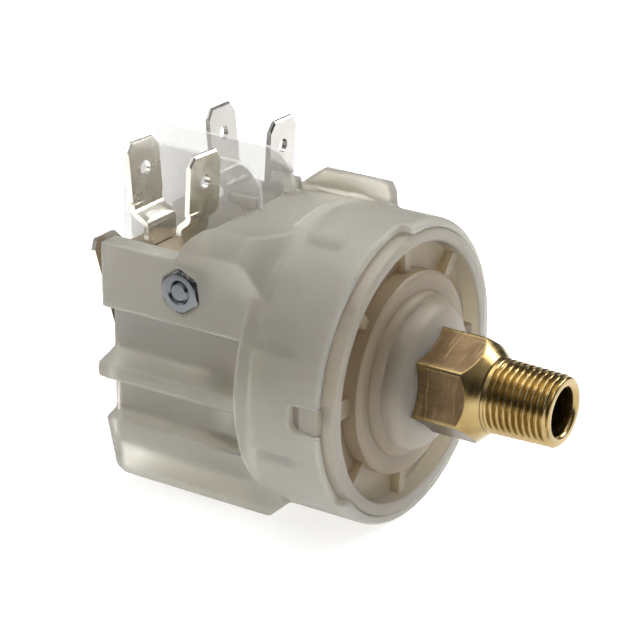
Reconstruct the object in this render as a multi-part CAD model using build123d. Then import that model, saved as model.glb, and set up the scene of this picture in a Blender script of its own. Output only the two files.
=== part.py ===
from build123d import *
import math
import os

# Dual-contact diaphragm pressure switch. Millimetres. X runs along the brass
# fitting towards its thread tip, Z up towards the spade tabs, Y = -Y near side.
# Everything is drawn with X = 0 on the drum's front rim and shifted by X_ORG
# at export, so the stored origin is the root of the pipe thread.

X_ORG = 13.0            # front rim to the root of the thread

# fitting
THREAD_R = 5.0          # 1/8 inch taper pipe thread, mean major radius
THREAD_X0, THREAD_X1 = 13.0, 22.9
BORE_R = 3.3            # counterbore at the thread's mouth
ORIFICE_R = 1.4
HEX_AF = 13.0
HEX_X0, HEX_X1 = 3.0, 10.5
CONE_X1, CONE_R = 12.7, 5.5    # front chamfer of the hex runs down to here
HEX_ANGLE = 36.75        # a corner's angle from -Y towards +Z

# drum
DRUM_R = 21.4
DRUM_IN_R = 20.1
DRUM_BACK = -15.2
CUT_X = -1.9            # near sector of the shell stops here
CAP_R = 20.0
CAP_LIP_R = 18.2
DISC_R = 14.2
TUBE_R0, TUBE_R1 = 10.6, 12.7

# switch block
BLK_X0 = -39.7
CHEEK_Y = 17.0
RECESS_Y = 14.3
BLK_TOP = 15.7
DECK_Z = 20.1
BLK_BOT = -21.0
BLK_R = 24.4            # the block's corners lie on this cylinder
DECK_X, DECK_R = -22.5, 4.4   # rounded rise from the tab deck

# microswitches
CASE_X0, CASE_X1 = -39.4, -23.6
CASE_Y0, CASE_Y1 = 4.4, 13.4
CASE_Z0, CASE_Z1 = -13.3, 14.5
CASE_YC = 8.9
TAB_YC = 9.4
TAB_W, TAB_T = 6.3, 0.8
TAB_TOP = 28.6
SCREW_X, SCREW_Z = -26.5, 11.35
NUT_Y0, NUT_Y1 = -14.95, -17.3    # M3 nut let into the near cheek
NUT_TURN = 7.0
LEAN_REAR_NEAR, LEAN_REAR_FAR, LEAN_FRONT = 5.0, 6.5, 2.9   # tab tips stand apart, degrees

STROKE = 1.2            # piston travel
SCREW_R = 2.0           # adjusting screw

os.makedirs("parts", exist_ok=True)


def bx(x0, x1, y0, y1, z0, z1):
    return Pos((x0 + x1) / 2, (y0 + y1) / 2, (z0 + z1) / 2) * Box(x1 - x0, y1 - y0, z1 - z0)


def cyx(r, x0, x1, y=0.0, z=0.0):
    return Pos((x0 + x1) / 2, y, z) * Rot(0, 90, 0) * Cylinder(r, x1 - x0)


def cyy(r, y0, y1, x, z):
    return Pos(x, (y0 + y1) / 2, z) * Rot(90, 0, 0) * Cylinder(r, y1 - y0)


def poly_yz(pts, x0, x1):
    pl = Plane(origin=(x0, 0, 0), x_dir=(0, 1, 0), z_dir=(1, 0, 0))
    return extrude(pl * make_face(Polyline(*pts, close=True)), amount=x1 - x0)


def poly_xz(pts, y0, y1):
    pl = Plane(origin=(0, y1, 0), x_dir=(1, 0, 0), z_dir=(0, -1, 0))
    return extrude(pl * make_face(Polyline(*pts, close=True)), amount=y1 - y0)


def rev(pts):
    """Revolve (x, r) points about the X axis."""
    face = make_face(Polyline(*[(a, b, 0) for a, b in pts], close=True))
    return revolve(face, Axis.X, 360)


def sector(x0, x1, r0, r1, a0, a1):
    """Ring sector; angles in degrees from -Y towards +Z."""
    n = max(2, int(abs(a1 - a0) / 15) + 1)
    pts = []
    for i in range(n + 1):
        a = math.radians(a0 + (a1 - a0) * i / n)
        pts.append((-2.0 * r1 * math.cos(a), 2.0 * r1 * math.sin(a)))
    wedge = poly_yz([(0.0, 0.0)] + pts, x0, x1)
    ring = cyx(r1, x0, x1)
    if r0 > 0:
        ring -= cyx(r0, x0 - 1, x1 + 1)
    return ring & wedge


def mir(s):
    return mirror(s, about=Plane.XZ)


def one(s):
    """Unwrap a single solid."""
    so = s.solids()
    return so[0] if len(so) == 1 else Compound(children=list(so))


nodes = {}

# ------------------------------------------------------------- housing ----
drum = cyx(DRUM_R, DRUM_BACK, 0)
drum = fillet(drum.edges().filter_by(GeomType.CIRCLE).group_by(Axis.X)[-1], 1.25)
drum = fillet(drum.edges().filter_by(GeomType.CIRCLE).group_by(Axis.X)[0], 0.8)

# rear block: the drum's own cylinder carried back, flat on sides and top
rear = poly_yz([(-CHEEK_Y, -10.3), (-CHEEK_Y, DECK_Z), (CHEEK_Y, DECK_Z), (CHEEK_Y, -10.3)], BLK_X0, -12.0)
# its corners run out into the drum on a short cone
rear = rear & rev([(BLK_X0 - 1, 0), (BLK_X0 - 1, BLK_R), (-17.2, BLK_R), (-15.6, 23.7), (-13.4, 21.9), (-12.0, 21.3), (-12.0, 0)])
# deck over the tabs is lower, with a rounded rise up to the drum
deck = [(BLK_X0 - 1, BLK_TOP), (DECK_X - DECK_R, BLK_TOP)]
for i in range(1, 10):
    a = math.radians(90 * i / 10)
    deck.append((DECK_X - DECK_R * math.cos(a), BLK_TOP + DECK_R * math.sin(a)))
deck += [(DECK_X, DECK_Z), (DECK_X, 26.0), (BLK_X0 - 1, 26.0)]
rear -= poly_xz(deck, -24, 24)

foot_prof = [(-16.7, -10.0), (-14.6, -18.4), (-12.9, -20.4), (-11.3, BLK_BOT), (11.3, BLK_BOT), (12.9, -20.4), (14.6, -18.4), (16.7, -10.0), (10, -6), (-10, -6)]
foot = poly_yz(foot_prof, BLK_X0, -11.0)
foot = foot - poly_xz([(-15.4, BLK_BOT - 1), (-15.4, BLK_BOT), (-12.0, -17.9), (-11.0, -17.0), (-9.0, -17.0), (-9.0, BLK_BOT - 1)], -24, 24)

housing = drum + rear + foot

# far-side lug on top of the drum
lug = poly_xz([(-23.4, 14.0), (-23.4, 20.5), (-19.5, 23.4), (-10.6, 23.7), (-9.0, 23.0), (-8.4, 21.6), (-8.2, 19.0), (-8.2, 14.0)], 7.2, 9.0)
lug = lug & cyx(24.75, -24, -7)
housing += lug

# side recesses between top block, middle rib and bottom block
upper = [(-RECESS_Y, 6.3), (-24, 6.3), (-24, -1.9), (-CHEEK_Y, -1.9), (-RECESS_Y, -0.3)]
lower = [(-RECESS_Y, -4.7), (-CHEEK_Y, -4.4), (-24, -4.4), (-24, -10.3), (-16.65, -10.3), (-RECESS_Y, -9.5)]
for prof in (upper, lower):
    c = poly_yz(prof, BLK_X0 - 1, DRUM_BACK)
    housing -= c
    housing -= mir(c)
rib = poly_yz([(-14.5, -0.35), (-17.9, -1.35), (-18.2, -1.7), (-18.2, -3.3), (-17.9, -3.7), (-14.5, -4.65)], BLK_X0, DRUM_BACK + 1)
housing = housing + rib + mir(rib)

# drum interior: cap seat, tube and ribs
housing -= rev([(1, 0), (1, DRUM_IN_R), (-13.4, DRUM_IN_R), (-13.4, TUBE_R1), (-7.0, TUBE_R1), (-7.0, 0)])
housing -= cyx(TUBE_R0, -13.4, -6)
for k in range(8):
    a = 22.5 + 45 * k
    rib = Rot(-a, 0, 0) * bx(-13.6, -7.0, -(DRUM_IN_R + 0.3), -(TUBE_R1 - 0.2), -0.6, 0.6)
    housing += rib
# near sector of the shell set back, showing the cap's edge
housing -= sector(CUT_X, 1, 19.9, 24, -40, 87)
# keyway in the set-back edge
slot = bx(-6.2, 1, -24, -19.6, -2.2, 1.5)
slot = fillet(slot.edges().filter_by(Axis.Y).group_by(Axis.X)[0].sort_by(Axis.Z)[0:1], 1.2)
housing -= slot

# range-spring cavity, finger channels and adjusting-screw wall
housing -= cyx(6.9, -25.2, -12)
housing -= bx(-25.2, -18.6, -1.6, 1.6, -8.4, 8.4)
for s in (-1, 1):
    housing -= cyx(1.9, -24.5, -12, s * CASE_YC, 0)

# pocket for the two switches, open at the back and top
pocket = bx(BLK_X0 - 1, CASE_X1 + 0.1, -13.5, 13.5, CASE_Z0 - 0.1, 30)
pillar = bx(-28.0, -20, -3.3, 3.3, -14.5, 8.0)
housing -= pocket - pillar
housing -= cyx(SCREW_R + 0.05, -30, -24, 0, 0)
# lightening cavities under the pocket, open at the back
for s in (-1, 1):
    housing -= bx(BLK_X0 - 1, -18.0, min(s * 1.0, s * 11.2), max(s * 1.0, s * 11.2), -19.6, -15.0)
# pocket for the nut and cross hole for the clamp screw
housing -= Pos(SCREW_X, NUT_Y0 + 0.05, SCREW_Z) * Rot(90, 0, 0) * Rot(0, 0, 90 + NUT_TURN) * extrude(RegularPolygon(2.82, 6, major_radius=False), amount=4)
housing -= cyy(1.6, -24, 24, SCREW_X, SCREW_Z)
# small ears that hold the barrier's front edges
for s in (-1, 1):
    y0, y1 = sorted((s * 4.55, s * 5.75))
    housing += bx(-24.4, -21.9, y0, y1, 14.9, 22.2) - bx(-26, CASE_X1 + 0.1, y0 - 1, y1 + 1, 10, CASE_Z1 + 0.6)
    housing += bx(-23.4, -21.0, y0, y1, 12.0, 18.9)
    housing += bx(-26.6, -24.2, y0, y1, 20.7, 22.2)
housing = one(housing)
nodes["housing"] = housing

# ---------------------------------------------------------- front cap -----
cap = rev([(-6.9, CAP_LIP_R), (-6.9, CAP_R), (-0.5, CAP_R), (-0.15, CAP_R - 0.15), (0, CAP_R - 0.5), (0, CAP_LIP_R + 0.25), (-0.2, CAP_LIP_R)])
inner = rev([(-3.0, 9.3), (-3.0, 12.9), (-6.9, 12.9), (-6.9, DISC_R), (-0.4, DISC_R), (-0.1, DISC_R - 0.3), (0.0, DISC_R - 0.6),
             (0.0, 11.6), (0.5, 11.35), (0.9, 10.9), (1.1, 10.3), (2.2, 10.1), (2.8, 9.75), (3.25, 9.2), (3.5, 8.5), (3.7, 7.7), (4.2, 6.9), (4.5, 6.4), (4.6, 6.05), (-1.55, 6.05), (-1.55, 9.3)])
floor = rev([(-4.0, DISC_R - 0.2), (-4.0, CAP_LIP_R + 0.2), (-2.7, CAP_LIP_R + 0.2), (-2.7, DISC_R - 0.2)])
cap = cap + inner + floor
for k in range(8):
    a = 45 * k
    half = 4.6 if k == 0 else 2.6
    cap += sector(-4.0, -1.3, DISC_R - 0.1, CAP_LIP_R + 0.1, a - half, a + half)
cap += sector(-4.8, -2.0, CAP_R - 0.2, 20.9, -5.4, 3.8)

# ------------------------------------------------------------ fitting -----
def hex_bar(af, x0, x1):
    return extrude(Plane(origin=(x0, 0, 0), x_dir=(0, -1, 0), z_dir=(1, 0, 0)) * Rot(0, 0, -HEX_ANGLE) * RegularPolygon(af / 2, 6, major_radius=False), amount=x1 - x0)


HEX_RC = HEX_AF / 2 / math.cos(math.pi / 6)
fit = rev([(-2.9, 0), (-2.9, 9.0), (-1.65, 9.0), (-1.65, 6.0), (HEX_X0, 6.0), (HEX_X0, 5.6), (CONE_X1, CONE_R), (THREAD_X0, THREAD_R), (THREAD_X1 - 0.6, THREAD_R), (THREAD_X1, 4.5), (THREAD_X1, 0)])
dome = rev([(HEX_X0, 0), (HEX_X0, HEX_RC + 0.01), (HEX_X1, HEX_RC + 0.01), (CONE_X1, CONE_R), (CONE_X1, 0)])
fit += hex_bar(HEX_AF, HEX_X0, CONE_X1) & dome
fit -= cyx(BORE_R, 8.0, THREAD_X1 + 1)
fit -= rev([(8.1, 0), (8.1, BORE_R), (7.0, ORIFICE_R), (7.0, 0)])
fit -= cyx(ORIFICE_R, -4, 8)
nodes["fitting"] = one(fit)
cap -= hex_bar(HEX_AF + 0.06, HEX_X0 - 0.03, 8.0)
nodes["front_cap"] = one(cap)

# ----------------------------------------- diaphragm, support, piston -----
nodes["diaphragm"] = one(rev([(-3.9, 0), (-3.9, 9.9), (-4.2, 10.9), (-4.2, 12.5), (-3.05, 12.5), (-3.05, 11.0), (-3.2, 10.2), (-3.2, 0)]))
nodes["support_ring"] = one(rev([(-6.95, 10.35), (-6.95, 12.5), (-4.25, 12.5), (-4.25, 10.95), (-4.6, 10.35)]))

pis = rev([(-6.0, 0), (-6.0, 9.6), (-5.7, 9.9), (-4.25, 9.9), (-3.95, 9.6), (-3.95, 0)])
pis += rev([(-10.0, 0), (-10.0, 5.0), (-6.0, 7.0), (-5.9, 0)])
pis += bx(-11.9, -9.8, -10.1, 10.1, -1.9, 1.9)
pis += cyx(5.9, -11.9, -10.0) & bx(-12, -9, -10, 10, -6, 6)
pis += cyx(3.9, -13.0, -11.8) - cyx(2.6, -20, -10)
pis -= cyx(2.6, -20, -10.5)
for s in (-1, 1):
    pis += cyx(1.3, -20.7, -11.8, s * CASE_YC, 0)
nodes["piston"] = one(pis)

# ------------------------------------------- range spring and adjuster ----
SP_X0, SP_X1, SP_R, SP_W = -20.35, -12.0, 5.0, 0.55
hel_h = (SP_X1 - SP_X0) - 2 * SP_W - 0.1
hel = Helix(pitch=hel_h / 4.0, height=hel_h, radius=SP_R)
coil = sweep(Plane(origin=hel @ 0, z_dir=hel % 0) * Circle(SP_W), path=hel)
nodes["range_spring"] = one(Pos(SP_X0 + SP_W + 0.05, 0, 0) * Rot(0, 90, 0) * coil)

seat = cyx(6.5, -21.6, -20.4) + cyx(3.3, -23.0, -21.5) + bx(-22.4, -20.6, -1.4, 1.4, -8.1, 8.1)
seat += cyx(4.1, -20.5, -19.4)
seat -= cyx(SCREW_R + 0.05, -26, -18)
nodes["spring_seat"] = one(seat)

adj = cyx(SCREW_R, -30.5, -14.0) + cyx(3.1, -30.6, -28.05) + cyx(2.9, -25.1, -24.5)
adj -= bx(-31, -29.6, -0.45, 0.45, -4, 4)
adj = adj - rev([(-14.5, 1.6), (-14.5, 3), (-13.5, 3), (-13.5, 1.0), (-14.0, 1.5)])
nodes["adjusting_screw"] = one(adj)

# ------------------------------------------------------- microswitches ----
def spade_top(x0, zs, zt, yc):
    """Flat tab in the YZ plane: chamfered tip, tapered shoulders, detent hole."""
    h = TAB_W / 2
    s = poly_yz([(yc - 2.1, zs), (yc - 2.1, zs + 3.4), (yc - h, zs + 5.2), (yc - h, zt - 1.15), (yc - h + 0.9, zt), (yc + h - 0.9, zt), (yc + h, zt - 1.15), (yc + h, zs + 5.2), (yc + 2.1, zs + 3.4), (yc + 2.1, zs)], x0, x0 + TAB_T)
    ed = [e for e in s.edges() if e.center().Z > zt - 1.6 and abs(e.center().X - x0 - TAB_T / 2) > 0.3]
    s = chamfer(ed, 0.24)
    return s - cyx(1.0, x0 - 1, x0 + 2, yc, zt - 4.0)


def leaned(s, xc, zc, deg, yc=0.0, twist=0.0):
    """Lean a tab about its root; positive puts the tip towards the rear."""
    s = Pos(xc, yc, 0) * Rot(0, 0, twist) * Pos(-xc, -yc, 0) * s
    return Pos(xc, 0, zc) * Rot(0, -deg, 0) * Pos(-xc, 0, -zc) * s


def strip(pts_c, t, y0, y1):
    """Sheet strip of thickness t along a centre line in XZ."""
    up, dn = [], []
    n = len(pts_c)
    for i, (x, z) in enumerate(pts_c):
        if i == 0:
            d = (pts_c[1][0] - x, pts_c[1][1] - z)
            nx, nz, k = -d[1], d[0], 1.0
        elif i == n - 1:
            d = (x - pts_c[i - 1][0], z - pts_c[i - 1][1])
            nx, nz, k = -d[1], d[0], 1.0
        else:
            a = (x - pts_c[i - 1][0], z - pts_c[i - 1][1]); la = math.hypot(*a)
            b = (pts_c[i + 1][0] - x, pts_c[i + 1][1] - z); lb = math.hypot(*b)
            n1 = (-a[1] / la, a[0] / la); n2 = (-b[1] / lb, b[0] / lb)
            nx, nz = n1[0] + n2[0], n1[1] + n2[1]
            k = 1.0 / max(0.3, (nx * nx + nz * nz) ** 0.5 / 2)
        ln = math.hypot(nx, nz)
        ox, oz = nx / ln * t / 2 * k, nz / ln * t / 2 * k
        up.append((x + ox, z + oz)); dn.append((x - ox, z - oz))
    return poly_xz(up + dn[::-1], y0, y1)


def switch(sg):
    """Parts of one microswitch; sg = -1 near side, +1 far side."""
    def yy(a, b):
        return tuple(sorted((sg * a, sg * b)))
    out = {}
    y0, y1 = yy(CASE_Y0 + 1.15, CASE_Y1)
    case = bx(CASE_X0, CASE_X1, y0, y1, CASE_Z0, CASE_Z1)
    case = chamfer(case.edges().filter_by(Axis.Y), 0.5)
    ci = yy(CASE_Y0, CASE_Y1 - 1.2)
    case -= bx(CASE_X0 + 1.2, CASE_X1 - 1.2, ci[0], ci[1], CASE_Z0 + 1.2, CASE_Z1 - 1.3)
    b1 = yy(CASE_Y0 + 1.15, CASE_Y1 - 1)
    case += cyy(2.35, b1[0], b1[1], SCREW_X, SCREW_Z) & bx(CASE_X0, CASE_X1, b1[0], b1[1], CASE_Z0, CASE_Z1)
    case += cyy(2.6, b1[0], b1[1], -36.6, -10.5) & bx(CASE_X0, CASE_X1, b1[0], b1[1], CASE_Z0, CASE_Z1)
    hy = yy(2, 18)
    case -= cyy(1.6, hy[0], hy[1], SCREW_X, SCREW_Z)
    case -= cyy(1.6, hy[0], hy[1], -36.6, -10.5)
    case -= cyx(1.4, -26, -23, sg * CASE_YC, 0)
    ty = sg * TAB_YC
    # terminal slots
    case -= bx(-35.75, -34.65, ty - 2.2, ty + 2.2, 12.0, 15.5)
    case -= bx(-30.35, -29.25, ty - 2.2, ty + 2.2, 13.0, 15.5)
    case -= bx(-41.0, -37.0, ty - 2.2, ty + 2.2, -8.0, -7.0)
    out["case"] = one(case)
    y0, y1 = yy(CASE_Y0, CASE_Y0 + 1.1)
    cov = bx(CASE_X0, CASE_X1, y0, y1, CASE_Z0, CASE_Z1)
    cov = chamfer(cov.edges().filter_by(Axis.Y), 0.5)
    cov -= cyy(1.6, hy[0], hy[1], SCREW_X, SCREW_Z)
    cov -= cyy(1.6, hy[0], hy[1], -36.6, -10.5)
    out["cover"] = one(cov)

    # front contact terminal: closed at rest, blade set forward by a joggle
    tf = spade_top(-28.6, 20.2 - 5.2, TAB_TOP, ty) - bx(-32, -24, ty - 9, ty + 9, 10, 20.1)
    tf = leaned(tf, -28.2, 20.3, -LEAN_FRONT, ty, -3.5 if sg < 0 else 0.0)
    tf += strip([(-28.2, 20.5), (-28.2, 20.1), (-28.35, 19.6), (-28.75, 19.2), (-29.3, 18.8), (-29.65, 18.4), (-29.8, 17.9), (-29.8, 17.3)], 0.8, ty - TAB_W / 2, ty + TAB_W / 2)
    tf += poly_yz([(ty - TAB_W / 2, 17.4), (ty - 2.1, 15.3), (ty - 2.1, 9.6), (ty + 2.1, 9.6), (ty + 2.1, 15.3), (ty + TAB_W / 2, 17.4)], -30.2, -29.4)
    tf += bx(-30.2, -29.4, sg * CASE_YC - 1.4, sg * CASE_YC + 1.4, 6.9, 9.8)
    tf = one(tf)
    # contact face at X = -30.2
    out["terminal_front"] = tf

    # rear contact terminal: joggled tab
    tr = spade_top(-37.9, 19.0 - 3.4, TAB_TOP, ty) - bx(-42, -30, ty - 9, ty + 9, 10, 19.6)
    tr = leaned(tr, -37.5, 19.9, LEAN_REAR_NEAR if sg < 0 else LEAN_REAR_FAR, ty, -3.5 if sg < 0 else 0.0)
    jog = strip([(-37.5, 19.8), (-37.45, 19.3), (-37.0, 18.75), (-35.65, 18.0), (-35.2, 17.3), (-35.2, 6.6)], 0.8, ty - 2.1, ty + 2.1)
    jogw = strip([(-37.53, 20.1), (-37.45, 19.3), (-37.0, 18.75), (-35.75, 18.05), (-35.35, 17.7), (-35.2, 17.2), (-35.2, 15.6)], 0.8, ty - TAB_W / 2, ty + TAB_W / 2)
    tr = tr + jog + jogw
    tr += bx(-35.6, -32.7, sg * CASE_YC - 1.4, sg * CASE_YC + 1.4, 6.9, 7.7)
    tr += bx(-33.4, -32.6, sg * CASE_YC - 1.4, sg * CASE_YC + 1.4, 6.9, 9.4)
    out["terminal_rear"] = one(tr)

    # common terminal: strap up the back face, leaning out, with a knife post inside
    h = TAB_W / 2
    lean = math.radians(17.4)
    xa, za, zt = -40.25, -1.4, 13.5
    xt = xa - (zt - za) * math.tan(lean)
    com = strip([(-36.8, -7.5), (xa, -7.5), (xa, za), (xt, zt)], 0.8, ty - 2.1, ty + 2.1)
    comw = strip([(xa, za - 0.6), (xa, za), (xt, zt)], 0.8, ty - h, ty + h)
    com = com + comw
    # tip chamfers
    for q in (-1, 1):
        tipc = Pos(xt, ty + q * h, zt) * Rot(0, -math.degrees(lean), 0) * Rot(q * 40, 0, 0) * Box(4, 1.9, 3.4)
        com -= tipc
    com -= Pos(xt + 4.0 * math.sin(lean), ty, zt - 4.0 * math.cos(lean)) * Rot(0, 90 - math.degrees(lean), 0) * Cylinder(1.0, 4)
    com += bx(-37.0, -31.3, sg * CASE_YC - 1.5, sg * CASE_YC + 1.5, -7.9, -7.1)
    com += bx(-32.0, -31.2, sg * CASE_YC - 1.5, sg * CASE_YC + 1.5, -7.9, -5.2)
    out["terminal_common"] = one(com)

    # snap blade
    cy = sg * CASE_YC
    bl = bx(-31.1, -30.85, cy - 1.5, cy + 1.5, -6.6, 9.2)
    bl += cyx(1.1, -31.45, -30.25, cy, 8.0)
    bl -= bx(-32, -30, cy - 0.55, cy + 0.55, -3.5, 5.0)
    bl += bx(-31.1, -30.85, cy - 1.5, cy + 1.5, -1.1, 1.1)
    out["blade"] = one(bl)

    # plunger button
    pl = rev([(-29.95, 0), (-29.95, 0.8), (-29.55, 1.3), (-26.1, 1.3), (-26.1, 1.9), (-25.1, 1.9), (-25.1, 1.3), (-21.35, 1.3), (-20.95, 0.9), (-20.95, 0)])
    pl = pl.moved(Location((0, cy, 0)))
    out["plunger"] = one(pl)
    return out


for sg, nm in ((-1, "near"), (1, "far")):
    for k, v in switch(sg).items():
        nodes[f"{k}_{nm}"] = v

# ------------------------------------------- barrier, clamp screw, nut ----
def barrier_plate(sg):
    y0, y1 = sorted((sg * 3.5, sg * 4.3))
    pts = [(-45.4, -9.0), (-45.4, 24.6), (-44.9, 25.8), (-43.8, 26.3), (-26.3, 26.2), (-24.4, 25.7), (-23.1, 24.6), (-22.4, 23.2), (-22.2, 21.5),
           (-22.2, 20.25), (-23.65, 20.25), (-23.65, -13.2), (-39.0, -13.2), (-39.0, -9.0)]
    p = poly_xz(pts, y0, y1)
    return p


bar = barrier_plate(-1) + barrier_plate(1) + bx(-45.4, -44.6, -4.0, 4.0, 7.0, 23.0)
bar -= cyy(1.6, -6, 6, SCREW_X, SCREW_Z)
nodes["terminal_barrier"] = one(bar)

scr = cyy(1.5, NUT_Y1 - 0.05, CHEEK_Y + 0.2, SCREW_X, SCREW_Z)
scr += cyy(2.75, CHEEK_Y + 0.02, CHEEK_Y + 2.1, SCREW_X, SCREW_Z)
scr = chamfer(scr.edges().filter_by(GeomType.CIRCLE).group_by(Axis.Y)[-1], 0.5)
scr -= bx(SCREW_X - 2.2, SCREW_X + 2.2, CHEEK_Y + 1.1, CHEEK_Y + 3, SCREW_Z - 0.4, SCREW_Z + 0.4)
scr = chamfer(scr.edges().filter_by(GeomType.CIRCLE).group_by(Axis.Y)[0], 0.3)
nodes["clamp_screw"] = one(scr)

nut = Pos(SCREW_X, NUT_Y0, SCREW_Z) * Rot(90, 0, 0) * Rot(0, 0, 90 + NUT_TURN) * extrude(RegularPolygon(2.75, 6, major_radius=False), amount=NUT_Y0 - NUT_Y1)
nutc = Pos(SCREW_X, 0, SCREW_Z) * Rot(0, 0, -90) * rev([(-NUT_Y0 - 1, 0), (-NUT_Y0 - 1, 3.3), (-NUT_Y1 - 0.35, 3.3), (-NUT_Y1, 2.6), (-NUT_Y1, 0)])
nut = nut & nutc
nut -= cyy(1.5, -22, -12, SCREW_X, SCREW_Z)
nodes["clamp_nut"] = one(nut)

# --------------------------------------------------------------- export ---
for name, shape in nodes.items():
    s = shape.moved(Location((-X_ORG, 0, 0)))
    s.label = name
    export_step(s, os.path.join("parts", name + ".step"))
    print(name, len(s.solids()), round(s.volume, 1), [round(float(v), 2) for v in (*s.bounding_box().min, *s.bounding_box().max)])
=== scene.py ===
import bpy
import math
from mathutils import Matrix, Vector


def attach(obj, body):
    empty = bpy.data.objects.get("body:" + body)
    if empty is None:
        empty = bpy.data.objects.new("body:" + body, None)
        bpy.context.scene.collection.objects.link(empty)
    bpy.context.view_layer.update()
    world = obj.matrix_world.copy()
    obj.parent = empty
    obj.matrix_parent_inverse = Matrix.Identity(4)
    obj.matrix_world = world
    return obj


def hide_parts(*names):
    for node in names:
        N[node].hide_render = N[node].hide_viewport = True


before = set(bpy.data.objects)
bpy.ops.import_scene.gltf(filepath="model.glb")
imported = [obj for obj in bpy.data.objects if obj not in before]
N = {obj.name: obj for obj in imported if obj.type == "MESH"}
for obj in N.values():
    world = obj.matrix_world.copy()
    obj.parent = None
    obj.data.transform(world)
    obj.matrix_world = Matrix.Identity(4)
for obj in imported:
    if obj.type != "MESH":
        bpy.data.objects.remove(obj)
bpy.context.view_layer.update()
scene = bpy.context.scene
MM = 0.001
XO = 13.0               # front rim to thread root, as in the CAD


# ------------------------------------------------------------- helpers ----
def mat(name):
    m = bpy.data.materials.new(name)
    m.use_nodes = True
    nt = m.node_tree
    for n in list(nt.nodes):
        nt.nodes.remove(n)
    out = nt.nodes.new("ShaderNodeOutputMaterial")
    sh = nt.nodes.new("ShaderNodeBsdfPrincipled")
    nt.links.new(sh.outputs[0], out.inputs[0])
    return m, nt, sh


def coords(nt, scale=(1, 1, 1), loc=(0, 0, 0), rot=(0, 0, 0)):
    tc = nt.nodes.new("ShaderNodeTexCoord")
    mp = nt.nodes.new("ShaderNodeMapping")
    mp.inputs["Scale"].default_value = scale
    mp.inputs["Location"].default_value = loc
    mp.inputs["Rotation"].default_value = rot
    nt.links.new(tc.outputs["Object"], mp.inputs["Vector"])
    return mp.outputs[0]


def noise(nt, vec, scale, detail=4.0, rough=0.55, dist=0.0):
    n = nt.nodes.new("ShaderNodeTexNoise")
    n.inputs["Scale"].default_value = scale
    n.inputs["Detail"].default_value = detail
    n.inputs["Roughness"].default_value = rough
    n.inputs["Distortion"].default_value = dist
    nt.links.new(vec, n.inputs["Vector"])
    return n.outputs["Fac"]


def ramp(nt, fac, stops):
    r = nt.nodes.new("ShaderNodeValToRGB")
    el = r.color_ramp.elements
    while len(el) > 1:
        el.remove(el[-1])
    el[0].position, el[0].color = stops[0][0], (*stops[0][1], 1)
    for p, c in stops[1:]:
        e = el.new(p)
        e.color = (*c, 1)
    nt.links.new(fac, r.inputs[0])
    return r.outputs[0]


def mixc(nt, fac, a, b, mode="MIX"):
    m = nt.nodes.new("ShaderNodeMix")
    m.data_type = "RGBA"
    m.blend_type = mode
    for sock, v in ((m.inputs[0], fac), (m.inputs[6], a), (m.inputs[7], b)):
        if isinstance(v, (int, float)):
            sock.default_value = v
        elif isinstance(v, tuple):
            sock.default_value = (*v, 1)
        else:
            nt.links.new(v, sock)
    return m.outputs[2]


def math_(nt, op, a, b=None, c=None, clamp=False):
    m = nt.nodes.new("ShaderNodeMath")
    m.operation = op
    m.use_clamp = clamp
    for i, v in enumerate((a, b, c)):
        if v is None:
            continue
        if isinstance(v, (int, float)):
            m.inputs[i].default_value = v
        else:
            nt.links.new(v, m.inputs[i])
    return m.outputs[0]


def maprange(nt, v, a, b, c=0.0, d=1.0):
    m = nt.nodes.new("ShaderNodeMapRange")
    nt.links.new(v, m.inputs[0])
    for i, x in zip((1, 2, 3, 4), (a, b, c, d)):
        m.inputs[i].default_value = x
    return m.outputs[0]


def bump(nt, sh, height, strength, dist, normal=None):
    b = nt.nodes.new("ShaderNodeBump")
    b.inputs["Strength"].default_value = strength
    b.inputs["Distance"].default_value = dist
    nt.links.new(height, b.inputs["Height"])
    if normal is not None:
        nt.links.new(normal, b.inputs["Normal"])
    nt.links.new(b.outputs[0], sh.inputs["Normal"])
    return b.outputs[0]


def sepxyz(nt, vec):
    s = nt.nodes.new("ShaderNodeSeparateXYZ")
    nt.links.new(vec, s.inputs[0])
    return s.outputs


def mesh_obj(name, verts, faces, body, smooth=True):
    me = bpy.data.meshes.new(name)
    me.from_pydata([tuple(c * MM for c in v) for v in verts], [], faces)
    me.update()
    me.shade_smooth() if smooth else None
    o = bpy.data.objects.new(name, me)
    scene.collection.objects.link(o)
    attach(o, body)
    return o


# ----------------------------------------------------------- materials ----
def plastic(name, col, warm, light, sss=0.35, rough=0.34, trans=0.0):
    """Milky natural moulding: soft mottling, fine moulded texture, scattering."""
    m, nt, sh = mat(name)
    v = coords(nt)
    big = noise(nt, v, 60, 3, 0.5)
    small = noise(nt, v, 900, 4, 0.6)
    c = ramp(nt, big, [(0.30, warm), (0.52, col), (0.74, light)])
    c = mixc(nt, 0.12, c, ramp(nt, small, [(0.35, tuple(x * 0.86 for x in col)), (0.65, tuple(min(1, x * 1.08) for x in col))]))
    nt.links.new(c, sh.inputs["Base Color"])
    sh.inputs["Subsurface Weight"].default_value = sss
    sh.inputs["Subsurface Radius"].default_value = (1.0, 0.92, 0.8)
    sh.inputs["Subsurface Scale"].default_value = 0.0035
    sh.inputs["IOR"].default_value = 1.49
    if trans:
        sh.inputs["Transmission Weight"].default_value = trans
    r = maprange(nt, small, 0.3, 0.7, rough - 0.05, rough + 0.08)
    nt.links.new(r, sh.inputs["Roughness"])
    h = math_(nt, "ADD", math_(nt, "MULTIPLY", big, 0.6), math_(nt, "MULTIPLY", small, 0.25))
    bump(nt, sh, h, 0.10, 0.0002)
    return m


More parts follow.
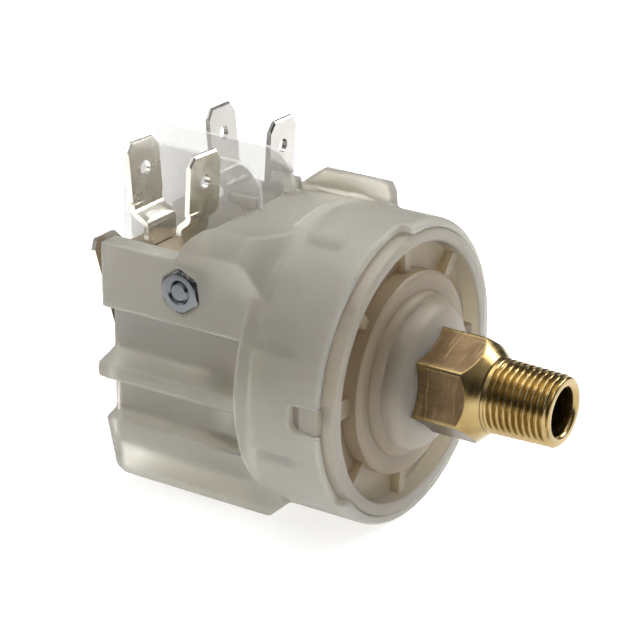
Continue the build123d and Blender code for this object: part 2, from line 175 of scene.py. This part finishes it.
def metal(name, dark, col, light, rough=0.22, stretch=(1, 1, 14), bumpy=0.12, scale=260, spots=None):
    m, nt, sh = mat(name)
    v = coords(nt, scale=stretch)
    u = coords(nt)
    grain = noise(nt, v, scale, 5, 0.6)
    cloud = noise(nt, u, 140, 4, 0.55, 0.3)
    c = ramp(nt, cloud, [(0.30, dark), (0.52, col), (0.75, light)])
    c = mixc(nt, 0.25, c, ramp(nt, grain, [(0.35, dark), (0.65, light)]))
    if spots:
        s = noise(nt, u, 520, 3, 0.5)
        c = mixc(nt, maprange(nt, s, 0.62, 0.74, 0.0, 0.55), c, spots)
    nt.links.new(c, sh.inputs["Base Color"])
    sh.inputs["Metallic"].default_value = 1.0
    r = math_(nt, "ADD", maprange(nt, grain, 0.3, 0.7, rough - 0.06, rough + 0.08), maprange(nt, cloud, 0.35, 0.7, -0.03, 0.08))
    nt.links.new(r, sh.inputs["Roughness"])
    bump(nt, sh, grain, bumpy, 0.0001)
    return m


def resin(name, col, warm, light, sss, rough, trans, tint_and_glow_zones=None, edge_glow_corner_shade=False):
    """Translucent natural moulding; a radial ramp by distance from the drum's axis multiplies its colour, tint and
    painted light together.
    """
    m, nt, sh = mat(name)
    v = coords(nt)
    big = noise(nt, v, 45, 3, 0.5)
    c = ramp(nt, big, [(0.30, warm), (0.52, col), (0.74, light)])
    if tint_and_glow_zones:
        x, y, z = sepxyz(nt, v)
        r = math_(nt, "SQRT", math_(nt, "ADD", math_(nt, "MULTIPLY", y, y), math_(nt, "MULTIPLY", z, z)))
        # radial ramp multiplies the colour: tint plus painted light toward the rim
        c = mixc(nt, 1.0, c, ramp(nt, math_(nt, "MULTIPLY", r, 40.0), tint_and_glow_zones), "MULTIPLY")
    if edge_glow_corner_shade:                                    # painted light brightens thin convex edges toward near-white, painted shade darkens inside corners warm brown
        pt = nt.nodes.new("ShaderNodeNewGeometry").outputs["Pointiness"]
        c = mixc(nt, maprange(nt, pt, 0.505, 0.56, 0.0, 0.75), c, (0.97, 0.95, 0.90))
        c = mixc(nt, maprange(nt, pt, 0.495, 0.45, 0.0, 0.40), c, (0.50, 0.45, 0.34))
    nt.links.new(c, sh.inputs["Base Color"])
    sh.inputs["Subsurface Weight"].default_value = sss
    sh.inputs["Subsurface Radius"].default_value = (1.0, 0.90, 0.74)
    sh.inputs["Subsurface Scale"].default_value = 0.004
    sh.inputs["IOR"].default_value = 1.49
    sh.inputs["Transmission Weight"].default_value = trans
    fine = noise(nt, v, 420, 3, 0.5)
    nt.links.new(maprange(nt, fine, 0.3, 0.7, rough - 0.04, rough + 0.06), sh.inputs["Roughness"])
    bump(nt, sh, noise(nt, v, 120, 2, 0.4), 0.10, 0.0003)
    return m


def brass_turned(name):
    """Free-cutting brass: bright turned thread and cone, dull drawn hexagon flats."""
    m, nt, sh = mat(name)
    v = coords(nt)
    x, y, z = sepxyz(nt, v)
    r = math_(nt, "MULTIPLY", math_(nt, "SQRT", math_(nt, "ADD", math_(nt, "MULTIPLY", y, y), math_(nt, "MULTIPLY", z, z))), 1000.0)
    xm = math_(nt, "ADD", math_(nt, "MULTIPLY", x, 1000.0), XO)
    cone = math_(nt, "SUBTRACT", 7.506 + 0.896 * 10.42, math_(nt, "MULTIPLY", xm, 0.896))
    flat = maprange(nt, math_(nt, "SUBTRACT", cone, r), 0.02, 0.12, 0.0, 1.0)
    worn = maprange(nt, r, 7.22, 7.44, 0.0, 0.85)
    flat = math_(nt, "MULTIPLY", flat, math_(nt, "SUBTRACT", 1.0, worn))
    cloud = noise(nt, v, 170, 4, 0.6, 0.4)
    along = noise(nt, coords(nt, scale=(1, 14, 14)), 160, 4, 0.6)
    across = noise(nt, coords(nt, scale=(22, 1.5, 1.5)), 130, 5, 0.65)
    bright = ramp(nt, cloud, [(0.30, (0.27, 0.185, 0.07)), (0.52, (0.36, 0.265, 0.115)), (0.75, (0.46, 0.35, 0.17))])
    dull = ramp(nt, cloud, [(0.30, (0.09, 0.058, 0.03)), (0.52, (0.13, 0.086, 0.046)), (0.75, (0.20, 0.135, 0.072))])
    dull = mixc(nt, maprange(nt, across, 0.55, 0.72, 0.0, 0.55), dull, (0.38, 0.28, 0.16))
    dull = mixc(nt, maprange(nt, along, 0.60, 0.75, 0.0, 0.40), dull, (0.34, 0.25, 0.13))
    nt.links.new(mixc(nt, flat, bright, dull), sh.inputs["Base Color"])
    sh.inputs["Metallic"].default_value = 1.0
    rg_ = math_(nt, "ADD", maprange(nt, across, 0.3, 0.7, 0.16, 0.30), math_(nt, "MULTIPLY", flat, 0.10))
    nt.links.new(rg_, sh.inputs["Roughness"])
    bump(nt, sh, math_(nt, "ADD", math_(nt, "MULTIPLY", across, 0.8), math_(nt, "MULTIPLY", along, 0.4)), 0.14, 0.0001)
    return m


M = {}
# housing: painted light on its thin edges and painted shade in its inside corners
M["housing"] = resin("M_housing", (0.80, 0.775, 0.69), (0.75, 0.72, 0.625), (0.85, 0.83, 0.76), sss=0.75, rough=0.46, trans=0.78, edge_glow_corner_shade=True)
# cap's radial ramp: cool grey over the boss, warm beige over the disc, darkest brown near the boss's foot, then painted
# light brightening the thin outer rim above its own colour as if lit through from behind
M["cap"] = resin("M_cap", (0.78, 0.74, 0.66), (0.73, 0.685, 0.595), (0.82, 0.79, 0.72), sss=0.8, rough=0.44, trans=0.74,
                 tint_and_glow_zones=[(0.26, (0.86, 0.84, 0.82)), (0.40, (0.80, 0.75, 0.69)), (0.44, (0.68, 0.57, 0.43)), (0.57, (0.78, 0.67, 0.52)), (0.70, (0.98, 0.89, 0.77)), (0.745, (1.0, 0.98, 0.95)), (0.8, (1.04, 1.03, 1.01))])
M["barrier"] = plastic("M_barrier", (0.86, 0.85, 0.82), (0.83, 0.82, 0.79), (0.89, 0.88, 0.86), sss=0.0, rough=0.22)
bs = M["barrier"].node_tree.nodes["Principled BSDF"]
bs.inputs["Alpha"].default_value = 0.40
for lk in list(bs.inputs["Normal"].links):
    M["barrier"].node_tree.links.remove(lk)
M["case"] = plastic("M_case", (0.36, 0.30, 0.21), (0.30, 0.245, 0.165), (0.42, 0.355, 0.26), sss=0.0, rough=0.45)
M["nickel"] = metal("M_nickel", (0.74, 0.70, 0.62), (0.82, 0.785, 0.71), (0.90, 0.87, 0.80), rough=0.20, stretch=(1, 1, 1), bumpy=0.03)
# painted shade: a darker copy of the nickel for the far-side tabs, standing in for the dark they reflect
M["nickel_far_shaded"] = metal("M_nickel_far_shaded", (0.40, 0.385, 0.36), (0.47, 0.455, 0.43), (0.56, 0.545, 0.52), rough=0.16, stretch=(1, 1, 1), bumpy=0.03)
M["zinc"] = metal("M_zinc", (0.11, 0.117, 0.12), (0.16, 0.168, 0.172), (0.27, 0.28, 0.29), rough=0.24, stretch=(1, 1, 1), bumpy=0.08)
M["steel"] = metal("M_steel", (0.40, 0.40, 0.41), (0.55, 0.55, 0.56), (0.68, 0.68, 0.69), rough=0.28, stretch=(1, 8, 8))
M["brass"] = brass_turned("M_brass")
M["brass_part"] = metal("M_brass_part", (0.50, 0.34, 0.13), (0.66, 0.48, 0.22), (0.78, 0.60, 0.33), rough=0.24, stretch=(30, 1, 1), bumpy=0.10)
M["copper"] = metal("M_copper", (0.50, 0.30, 0.18), (0.70, 0.44, 0.28), (0.82, 0.58, 0.40), rough=0.26, stretch=(1, 1, 12))
M["acetal"] = plastic("M_acetal", (0.72, 0.69, 0.62), (0.66, 0.63, 0.55), (0.78, 0.76, 0.70), sss=0.2, rough=0.30)
M["red"] = plastic("M_red", (0.50, 0.04, 0.03), (0.42, 0.03, 0.02), (0.58, 0.07, 0.05), sss=0.1, rough=0.25)
M["rubber"] = plastic("M_rubber", (0.035, 0.033, 0.03), (0.025, 0.024, 0.022), (0.05, 0.048, 0.045), sss=0.0, rough=0.6)

assign = {"housing": "housing", "front_cap": "cap", "fitting": "brass", "diaphragm": "rubber", "support_ring": "steel", "piston": "acetal",
          "range_spring": "steel", "spring_seat": "brass_part", "adjusting_screw": "zinc", "terminal_barrier": "barrier", "clamp_screw": "zinc", "clamp_nut": "zinc"}
for s in ("near", "far"):
    # far tabs take the painted-shade copy of the nickel
    tab = "nickel" if s == "near" else "nickel_far_shaded"
    assign.update({"case_" + s: "case", "cover_" + s: "case", "terminal_front_" + s: tab, "terminal_rear_" + s: tab,
                   "terminal_common_" + s: "nickel", "blade_" + s: "copper", "plunger_" + s: "red"})
for n, k in assign.items():
    o = N[n]
    o.data.materials.clear()
    o.data.materials.append(M[k])

# ------------------------------------- fitting with its real cut thread ----
def fitting_mesh():
    NT = 240
    AF, A0 = 13.0, math.radians(36.75)
    P = 0.941
    X0, X1 = 13.0, 22.85
    RC = 7.506

    def hexr(th):
        a = (th - A0) % (math.pi / 3) - math.pi / 6
        return (AF / 2) / math.cos(a)

    rings = []            # (x, function of theta -> r)

    def const(r):
        return lambda th: r

    def hx(dome):
        return lambda th: min(hexr(th) - 0.01, dome)
    for x in (3.0, 3.3, 3.6, 3.9, 4.3, 4.8, 5.4, 6.2, 7.1, 8.0, 8.8, 9.5, 10.0, 10.3):
        rings.append((x, hx(RC)))
    n = 26
    for i in range(n + 1):                       # cone chamfer down to the neck
        t = i / n
        x = 10.42 + (12.86 - 10.42) * t
        rings.append((x, hx(RC + (5.32 - RC) * t)))
    for x, r in ((12.94, 5.2), (12.99, 5.12), (13.03, 5.12)):
        rings.append((x, const(r)))

    def thr(x):
        def f(th):
            turn = (x / P + th / (2 * math.pi)) % 1.0
            tri = 1.0 - abs(2 * turn - 1.0)          # 0 at root, 1 at crest
            tri = min(1.0, max(0.0, (tri - 0.08) / 0.76))
            tri = tri * tri * (3 - 2 * tri) * 0.35 + tri * 0.65
            major = 5.15 - (x - X0) * 0.026
            fade = min(1.0, max(0.0, (x - 13.25) / 0.9))
            r = major - 0.60 * (1 - tri) * fade
            return min(r, 4.50 + (X1 - x) * 0.95)
        return f
    xe = X1 - 0.1
    n = int((xe - 13.08) / (P / 14))
    for i in range(n + 1):
        rings.append((13.08 + (xe - 13.08) * i / n, thr(13.08 + (xe - 13.08) * i / n)))
    for x, r in ((X1 - 0.03, 4.48), (X1, 4.40), (X1, 3.74), (X1 - 0.03, 3.64), (X1 - 0.3, 3.36), (X1 - 0.5, 3.31), (21.5, 3.3), (18.0, 3.3), (12.0, 3.3), (8.1, 3.3), (7.0, 1.4), (3.0, 1.4)):
        rings.append((x, const(r)))
    verts, faces = [], []
    for x, f in rings:
        for k in range(NT):
            th = 2 * math.pi * k / NT
            r = f(th)
            # theta from -Y towards +Z
            verts.append((x - XO, -r * math.cos(th), r * math.sin(th)))
    R = len(rings)
    for i in range(R - 1):
        for k in range(NT):
            a, b = i * NT + k, i * NT + (k + 1) % NT
            faces.append((a, b, b + NT, a + NT))
    for k in range(NT):                          # close the back face
        a, b = k, (k + 1) % NT
        faces.append((b, a, (R - 1) * NT + a, (R - 1) * NT + b))
    return verts, faces


vf, ff = fitting_mesh()
fitting = mesh_obj("fitting_threaded", vf, ff, "base")
fitting.data.materials.append(M["brass"])
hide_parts("fitting")
mod = fitting.modifiers.new("edge", "EDGE_SPLIT")
mod.split_angle = math.radians(36)


# --------------------------------------- clamp nut and the screw's end ----
SX, SZ = -26.5 - XO, 11.35


def yrings(rings, nt, name, node, mat_, split=30, caps=False):
    """Mesh from rings (y, function of theta -> r) about the clamp screw's axis."""
    verts, faces = [], []
    for y, f in rings:
        for k in range(nt):
            th = 2 * math.pi * k / nt
            r = f(th) if callable(f) else f
            verts.append((SX + r * math.sin(th), y, SZ + r * math.cos(th)))
    for i in range(len(rings) - 1):
        for k in range(nt):
            a, b = i * nt + k, i * nt + (k + 1) % nt
            faces.append((a, a + nt, b + nt, b))
    if caps:
        faces.append(tuple(range(nt)))
        faces.append(tuple((len(rings) - 1) * nt + k for k in reversed(range(nt))))
    else:
        base = (len(rings) - 1) * nt
        for k in range(nt):
            a, b = k, (k + 1) % nt
            faces.append((base + a, a, b, base + b))
    o = mesh_obj(name, verts, faces, "base")
    o.data.materials.append(mat_)
    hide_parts(node)
    e = o.modifiers.new("edge", "EDGE_SPLIT")
    e.split_angle = math.radians(split)
    return o


def nut_hex(lim):
    def f(th):
        a = (th + math.radians(7)) % (math.pi / 3) - math.pi / 6
        return min(2.75 / math.cos(a), lim)
    return f


Y0, Y1 = -14.97, -17.30
yrings([(Y0, 1.62), (Y0, nut_hex(2.62)), (Y0 - 0.12, nut_hex(2.86)), (Y0 - 0.28, nut_hex(3.14)), (Y1 + 0.34, nut_hex(3.14)), (Y1 + 0.2, nut_hex(2.9)),
        (Y1 + 0.08, nut_hex(2.72)), (Y1 + 0.02, nut_hex(2.6)), (Y1, 2.54), (Y1, 1.78), (Y1 + 0.05, 1.70), (Y1 + 0.42, 1.33), (Y0 - 0.4, 1.33)],
       96, "nut_chamfered", "clamp_nut", M["zinc"], split=24)


def screw_thread(y):
    def f(th):
        turn = (y / 0.5 + th / (2 * math.pi)) % 1.0
        tri = 1.0 - abs(2 * turn - 1.0)
        r = 1.5 - 0.26 * (1 - min(1.0, max(0.0, (tri - 0.1) / 0.75)))
        return min(r, 1.10 + (y + 17.33) * 1.0)
    return f


rg = [(-17.33, 0.02), (-17.33, 1.02)]
n = 120
for i in range(n + 1):
    y = -17.32 + (-13.6 + 17.32) * i / n
    rg.append((y, screw_thread(y)))
rg += [(-13.5, 1.5), (17.02, 1.5), (17.02, 2.5), (17.1, 2.68), (17.3, 2.75), (18.5, 2.75), (18.85, 2.62), (19.02, 2.4), (19.1, 2.1), (19.1, 0.02)]
scr = yrings(rg, 64, "screw_threaded", "clamp_screw", M["zinc"], split=30, caps=True)

# --------------------------------------------------- soften the CAD nodes --
def soften(o, angle=30):
    w = o.modifiers.new("weld", "WELD")
    w.merge_threshold = 1e-6
    for p in o.data.polygons:
        p.use_smooth = True
    e = o.modifiers.new("edge", "EDGE_SPLIT")
    e.split_angle = math.radians(angle)


def remould(o, voxel, iters, ratio):
    w = o.modifiers.new("weld", "WELD")
    w.merge_threshold = 1e-6
    r = o.modifiers.new("remesh", "REMESH")
    r.mode = "VOXEL"
    r.voxel_size = voxel * MM
    r.use_smooth_shade = True
    s = o.modifiers.new("smooth", "SMOOTH")
    s.factor = 0.5
    s.iterations = iters


for n, o in N.items():
    if n in ("housing",):
        remould(o, 0.28, 4, 0.3)
    elif n not in ("fitting", "clamp_nut", "clamp_screw"):
        soften(o)

# ------------------------------------------------------- camera and light --
CAM = {"az": 32.53, "el": 22.22, "roll": 0.73}
az, el, ro = (math.radians(CAM[k]) for k in ("az", "el", "roll"))
r0 = Vector((math.cos(az), math.sin(az), 0))
u0 = Vector((-math.sin(az) * math.sin(el), math.cos(az) * math.sin(el), math.cos(el)))
back = Vector((math.sin(az) * math.cos(el), -math.cos(az) * math.cos(el), math.sin(el)))
right = r0 * math.cos(ro) + u0 * math.sin(ro)
up = -r0 * math.sin(ro) + u0 * math.cos(ro)
pos = Vector((149.18 - XO, -257.57, 129.05)) * MM
cam = bpy.data.objects.new("camera", bpy.data.cameras.new("camera"))
scene.collection.objects.link(cam)
cam.matrix_world = Matrix(((right.x, up.x, back.x, pos.x), (right.y, up.y, back.y, pos.y), (right.z, up.z, back.z, pos.z), (0, 0, 0, 1)))
cam.data.sensor_width = 36
cam.data.lens = 2400.0 / 640.0 * 36.0
cam.data.clip_start = 0.01
cam.data.clip_end = 20
scene.camera = cam

bpy.ops.mesh.primitive_plane_add(size=6.0, location=(0, 0, -0.0216))
floor = bpy.context.object
floor.name = "floor"
m, nt, sh = mat("M_floor")
fc = ramp(nt, noise(nt, coords(nt), 30, 3), [(0.3, (0.86, 0.86, 0.86)), (0.7, (0.88, 0.88, 0.88))])
nt.links.new(fc, sh.inputs["Base Color"])
sh.inputs["Roughness"].default_value = 0.9
sh.inputs["Specular IOR Level"].default_value = 0.1
# painted pool of light: the floor glows, strongest around the object and fading outward, lighting it from below
sh.inputs["Emission Color"].default_value = (1, 1, 1, 1)
pv = nt.nodes.new("ShaderNodeMapping")
tg = nt.nodes.new("ShaderNodeTexCoord")
pv.vector_type = "TEXTURE"
pv.inputs["Location"].default_value = (-0.085, 0.13, 0)
pv.inputs["Rotation"].default_value = (0, 0, math.radians(32.5))
pv.inputs["Scale"].default_value = (0.64, 1, 1)
nt.links.new(tg.outputs["Object"], pv.inputs["Vector"])
vl = nt.nodes.new("ShaderNodeVectorMath")
vl.operation = "LENGTH"
nt.links.new(pv.outputs[0], vl.inputs[0])
nt.links.new(maprange(nt, vl.outputs["Value"], 0.25, 0.40, 0.64, 0.06), sh.inputs["Emission Strength"])
floor.data.materials.append(m)


def area(name, loc, target, size, power, col=(1, 1, 1), sy=None):
    d = bpy.data.lights.new(name, "AREA")
    d.energy = power
    d.color = col
    d.size = size
    if sy:
        d.shape = "RECTANGLE"
        d.size_y = sy
    o = bpy.data.objects.new(name, d)
    scene.collection.objects.link(o)
    o.location = loc
    o.rotation_euler = (Vector(target) - Vector(loc)).to_track_quat("-Z", "Y").to_euler()
    return o


area("top", (-0.10, 0.06, 0.55), (-0.02, 0, 0), 0.46, 2.1)
area("left", (-0.55, -0.35, 0.30), (-0.02, 0, 0), 0.22, 0.45, sy=0.4)

area("back", (0.30, 0.42, 0.36), (-0.02, 0, 0), 0.30, 2.1, sy=0.2)

w = bpy.data.worlds.new("studio")
scene.world = w
w.use_nodes = True
wt = w.node_tree
bg = wt.nodes["Background"]
tc = wt.nodes.new("ShaderNodeTexCoord")
sp = wt.nodes.new("ShaderNodeSeparateXYZ")
wt.links.new(tc.outputs["Generated"], sp.inputs[0])
wr = ramp(wt, sp.outputs[2], [(0.0, (0.05, 0.05, 0.05)), (0.22, (0.06, 0.06, 0.06)), (0.45, (0.14, 0.14, 0.14)), (0.72, (0.70, 0.70, 0.71)), (1.0, (1.0, 1.0, 1.0))])
wt.links.new(wr, bg.inputs[0])
bg.inputs[1].default_value = 0.8

scene.view_settings.view_transform = "Standard"
scene.view_settings.look = "None"
scene.view_settings.exposure = 0.0
